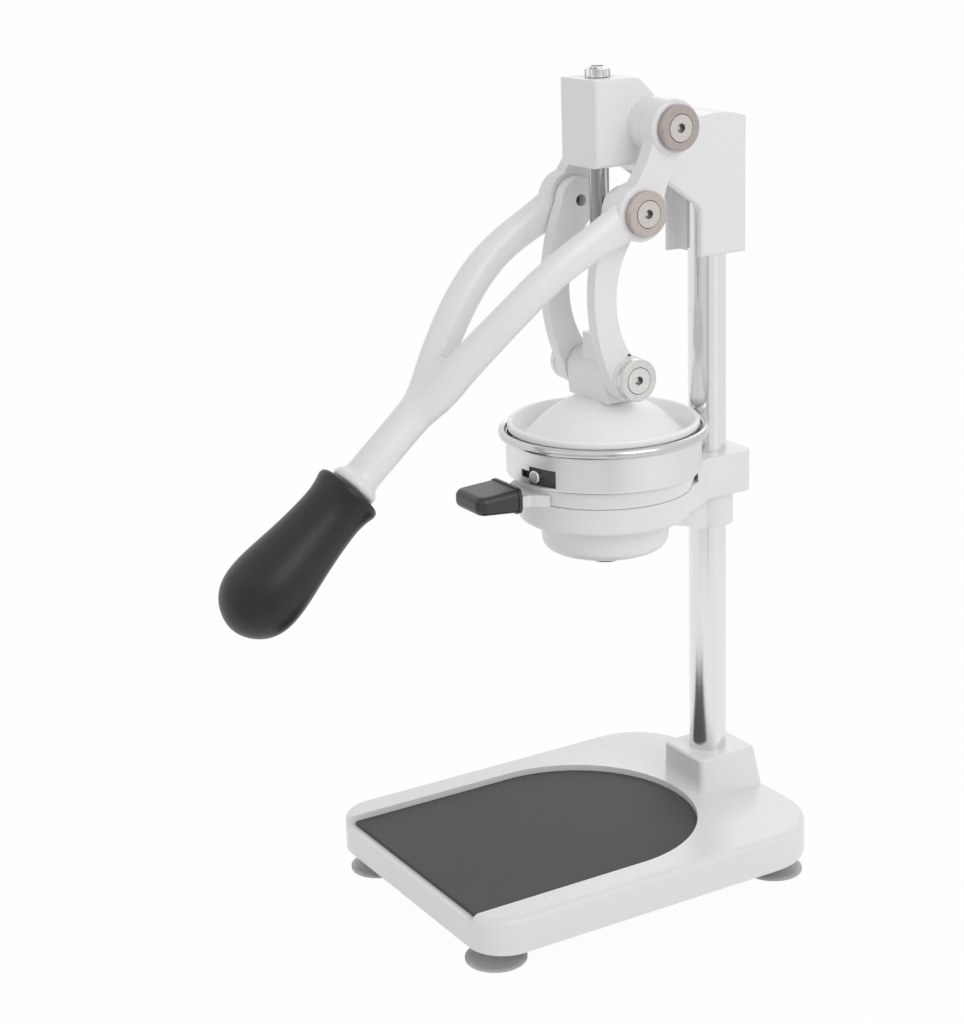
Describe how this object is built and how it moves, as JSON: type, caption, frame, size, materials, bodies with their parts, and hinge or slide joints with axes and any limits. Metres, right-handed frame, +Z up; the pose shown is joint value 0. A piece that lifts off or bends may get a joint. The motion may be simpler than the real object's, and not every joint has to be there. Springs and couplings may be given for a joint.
{
  "type": "manual citrus press",
  "caption": "Lever citrus press: a forked lever drives a dome down a column-mounted guide onto a ribbed cone over a funnel and spout, on a base with a mat.",
  "frame": {"origin": "on the press axis, in the plane of the feet's soles", "axes": "+X to the operator's right, +Y from the operator to the column, +Z up the press axis"},
  "size_m": [0.2, 0.3647, 0.51],
  "materials": {
    "white_coat": "semi-gloss white coat",
    "mat_rubber": "matt dark grey rubber",
    "foot_rubber": "soft grey translucent rubber",
    "grip_rubber": "matt black rubber",
    "chrome_plate": "polished plating",
    "nickel": "turned nickel plate",
    "brushed_steel": "satin spun steel",
    "zinc": "bright zinc",
    "bronze": "plain bearing bronze",
    "white_moulding": "smooth white"
  },
  "bodies": {
    "frame": {"base_casting": "white_coat", "base_mat": "mat_rubber", "foot_front_left": "foot_rubber", "foot_front_right": "foot_rubber", "foot_rear_left": "foot_rubber", "foot_rear_right": "foot_rubber", "foot_studs": "zinc", "foot_nuts": "zinc", "column_tube": "chrome_plate", "column_insert": "zinc", "column_washer": "zinc", "column_bolt": "zinc", "head_casting": "white_coat", "head_set_screws": "zinc", "ram_bush_lower": "bronze", "ram_bush_upper": "bronze", "pivot_bushes": "bronze", "cup_bracket": "white_coat", "bracket_set_screw": "zinc"},
    "lever": {"lever_fork": "white_coat", "handle_grip": "grip_rubber", "pivot_shaft": "zinc", "crank_bushes": "bronze", "crank_pins": "zinc", "pivot_disc_right": "nickel", "pivot_disc_left": "nickel", "crank_disc_right": "nickel", "crank_disc_left": "nickel", "pivot_screws": "nickel", "crank_screws": "nickel"},
    "ram": {"ram_rod": "chrome_plate", "ram_nut": "chrome_plate", "crosshead": "white_coat", "crosshead_pins": "zinc", "cross_disc_right": "nickel", "cross_disc_left": "nickel", "cross_screws": "nickel", "press_dome": "white_moulding", "dome_screw": "zinc"},
    "links": {"link_right": "white_coat", "link_left": "white_coat", "link_bushes": "bronze"},
    "funnel": {"juice_funnel": "white_moulding", "bayonet_pegs": "brushed_steel", "spout_ring": "brushed_steel", "tab_grip": "grip_rubber", "strainer_plate": "brushed_steel", "reamer_cone": "white_moulding", "reamer_screw": "zinc"},
    "cup": {"steel_ring": "brushed_steel"}
  },
  "joints": [
    {"name": "lever_lift", "type": "hinge", "parent": "frame", "child": "lever", "pos_m": [0, 0.0243, 0.4758], "axis": [-1, 0, 0], "range_deg": [0, 85]},
    {"name": "ram_slide", "type": "slide", "parent": "frame", "child": "ram", "axis": [0, 0, 1], "range_m": [0, 0.06956]},
    {"name": "link_swing", "type": "hinge", "parent": "ram", "child": "links", "pos_m": [0, 0, 0.3276], "axis": [1, 0, 0], "range_deg": [0, 14.92]},
    {"name": "funnel_turn", "type": "hinge", "parent": "frame", "child": "funnel", "pos_m": [0, 0, 0.26], "axis": [0, 0, 1], "range_deg": [-60, 60]},
    {"name": "cup_twist", "type": "hinge", "parent": "funnel", "child": "cup", "pos_m": [0, 0, 0.27], "axis": [0, 0, 1], "range_deg": [-7, 9]}
  ],
  "couplings": [
    {"joint": "ram_slide", "follows": "lever_lift", "m_per_rad": 0.046888},
    {"joint": "link_swing", "follows": "lever_lift", "ratio": 0.17558}
  ]
}
